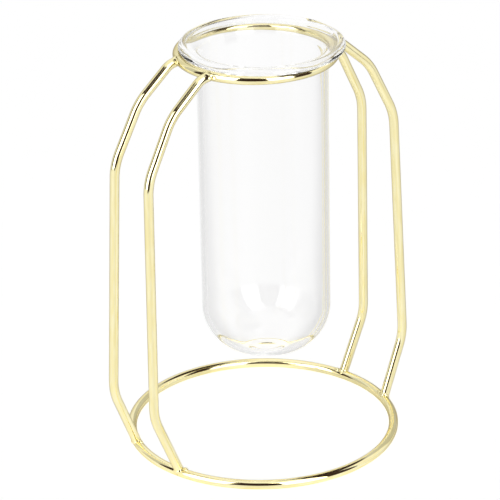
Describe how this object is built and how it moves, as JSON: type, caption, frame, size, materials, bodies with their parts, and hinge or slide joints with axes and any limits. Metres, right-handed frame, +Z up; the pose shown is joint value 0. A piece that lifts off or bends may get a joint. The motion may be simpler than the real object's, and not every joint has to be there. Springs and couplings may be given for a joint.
{
  "type": "hydroponic glass vase",
  "caption": "Clear glass test-tube vase for stems in water, hanging by its rim in a ring on a tall stand of bent and welded round wire.",
  "frame": {"origin": "on the table, under the middle of the base ring", "axes": "+Z up along the stand's axis; the two pairs of uprights leave the top ring towards +X and -X; +Y is across them"},
  "size_m": [0.1218, 0.1056, 0.1599],
  "materials": {
    "gold_wire": "polished pale gold plating on steel wire",
    "clear_glass": "clear, fire polished"
  },
  "bodies": {
    "stand": {"base_ring": "gold_wire", "top_ring": "gold_wire", "upright_left_front": "gold_wire", "upright_left_rear": "gold_wire", "upright_right_front": "gold_wire", "upright_right_rear": "gold_wire"},
    "vase": {"glass_tube": "clear_glass"}
  },
  "joints": [
    {"name": "tube_lift", "type": "slide", "parent": "stand", "child": "vase", "axis": [0, 0, 1], "range_m": [0, 0.13]}
  ]
}
